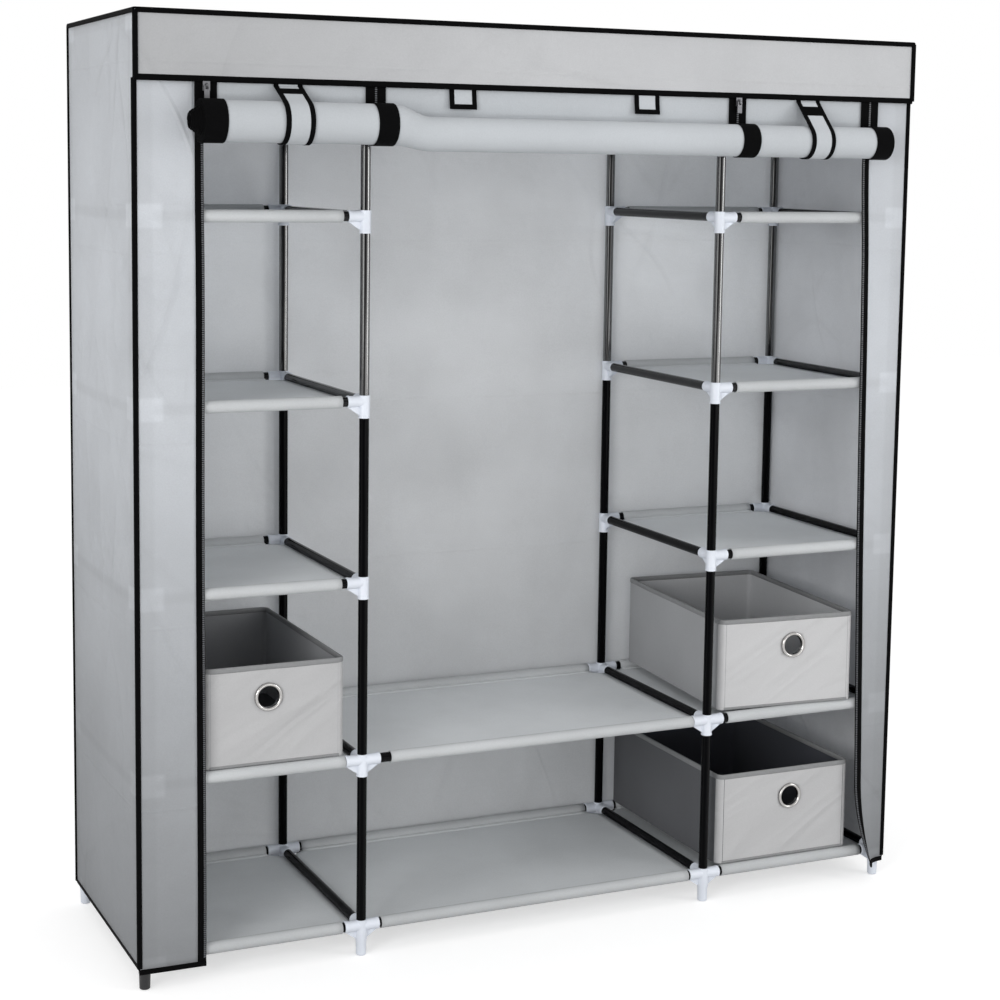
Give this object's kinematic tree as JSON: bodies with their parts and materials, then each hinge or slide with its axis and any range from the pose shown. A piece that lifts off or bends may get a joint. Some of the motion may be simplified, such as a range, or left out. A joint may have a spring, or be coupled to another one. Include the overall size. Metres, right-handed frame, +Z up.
{
  "type": "portable fabric wardrobe",
  "caption": "Wide free-standing wardrobe: tubular steel frame with fabric shelves, hanging bay, fabric cover with rolled-up door, front flaps and storage boxes with eyelets.",
  "frame": {"origin": "on the floor, under the middle of the whole object", "axes": "+Z up, +Y towards the back panel, so the open front faces -Y; +X to the right as seen from the front"},
  "size_m": [1.5114, 0.5402, 1.6303],
  "materials": {
    "frame_steel": "semi-gloss powder coat on the tubes; the connectors moulded round them are white plastic",
    "connector_plastic": "smooth",
    "cover_fabric": "non-woven, matt",
    "shelf_fabric": "non-woven, matt",
    "zip_tape": "woven tape with coil zip",
    "strap_tape": "non-woven band with black bound edges",
    "zip_metal": "die-cast, nickel plated",
    "box_fabric": "non-woven over stiff board",
    "eyelet_chrome": "polished",
    "base_board": "fibreboard in cloth"
  },
  "bodies": {
    "wardrobe": {"front_post_left": "frame_steel", "front_post_inner_left": "frame_steel", "front_post_inner_right": "frame_steel", "front_post_right": "frame_steel", "rear_post_left": "frame_steel", "rear_post_inner_left": "frame_steel", "rear_post_inner_right": "frame_steel", "rear_post_right": "frame_steel", "top_front_tube_left": "frame_steel", "top_front_tube_centre": "frame_steel", "top_front_tube_right": "frame_steel", "top_rear_tube_left": "frame_steel", "top_rear_tube_centre": "frame_steel", "top_rear_tube_right": "frame_steel", "rail_clip_left": "connector_plastic", "rail_clip_right": "connector_plastic", "hanging_rail": "frame_steel", "shelf_left_1": "shelf_fabric", "shelf_left_2": "shelf_fabric", "shelf_left_3": "shelf_fabric", "shelf_left_4": "shelf_fabric", "shelf_left_5": "shelf_fabric", "shelf_centre_1": "shelf_fabric", "shelf_centre_2": "shelf_fabric", "shelf_right_1": "shelf_fabric", "shelf_right_2": "shelf_fabric", "shelf_right_3": "shelf_fabric", "shelf_right_4": "shelf_fabric", "shelf_right_5": "shelf_fabric", "cover_left_side": "cover_fabric", "cover_right_side": "cover_fabric", "cover_back": "cover_fabric", "cover_top": "cover_fabric", "front_valance": "cover_fabric", "rolled_door": "cover_fabric", "door_zip_tape_1": "zip_tape", "door_zip_tape_2": "zip_tape", "door_zip_tape_3": "zip_tape", "door_zip_tape_4": "zip_tape", "tie_strap_left": "strap_tape", "tie_strap_right": "strap_tape", "short_tab_left": "strap_tape", "short_tab_right": "strap_tape", "zip_slider_left": "zip_metal", "zip_slider_right": "zip_metal"},
    "left_flap": {"left_front_flap": "cover_fabric", "left_zip_tape": "zip_tape"},
    "right_flap": {"right_front_flap": "cover_fabric", "right_zip_tape": "zip_tape"},
    "zip_pull_left": {"zip_pull_left": "zip_metal"},
    "zip_pull_right": {"zip_pull_right": "zip_metal"},
    "box_left": {"storage_box_left": "box_fabric", "box_eyelet_left": "eyelet_chrome", "box_base_board_left": "base_board"},
    "box_right_upper": {"storage_box_right_upper": "box_fabric", "box_eyelet_right_upper": "eyelet_chrome", "box_base_board_right_upper": "base_board"},
    "box_right_lower": {"storage_box_right_lower": "box_fabric", "box_eyelet_right_lower": "eyelet_chrome", "box_base_board_right_lower": "base_board"}
  },
  "joints": [
    {"name": "left_flap_hinge", "type": "hinge", "parent": "wardrobe", "child": "left_flap", "pos_m": [-0.7507, -0.1953, 0], "axis": [0, 0, -1], "range_deg": [0, 110]},
    {"name": "right_flap_hinge", "type": "hinge", "parent": "wardrobe", "child": "right_flap", "pos_m": [0.7507, -0.1953, 0], "axis": [0, 0, 1], "range_deg": [0, 110]},
    {"name": "box_left_slide", "type": "slide", "parent": "wardrobe", "child": "box_left", "axis": [0, -1, 0], "range_m": [0, 0.4]},
    {"name": "box_right_upper_slide", "type": "slide", "parent": "wardrobe", "child": "box_right_upper", "axis": [-0.0698, -0.9976, 0], "range_m": [0, 0.4]},
    {"name": "box_right_lower_slide", "type": "slide", "parent": "wardrobe", "child": "box_right_lower", "axis": [0, -1, 0], "range_m": [0, 0.4]},
    {"name": "zip_pull_left_hinge", "type": "hinge", "parent": "wardrobe", "child": "zip_pull_left", "pos_m": [-0.6327, -0.2088, 1.5118], "axis": [-1, 0, 0], "range_deg": [0, 100]},
    {"name": "zip_pull_right_hinge", "type": "hinge", "parent": "wardrobe", "child": "zip_pull_right", "pos_m": [0.368, -0.2088, 1.5118], "axis": [-1, 0, 0], "range_deg": [0, 100]}
  ]
}
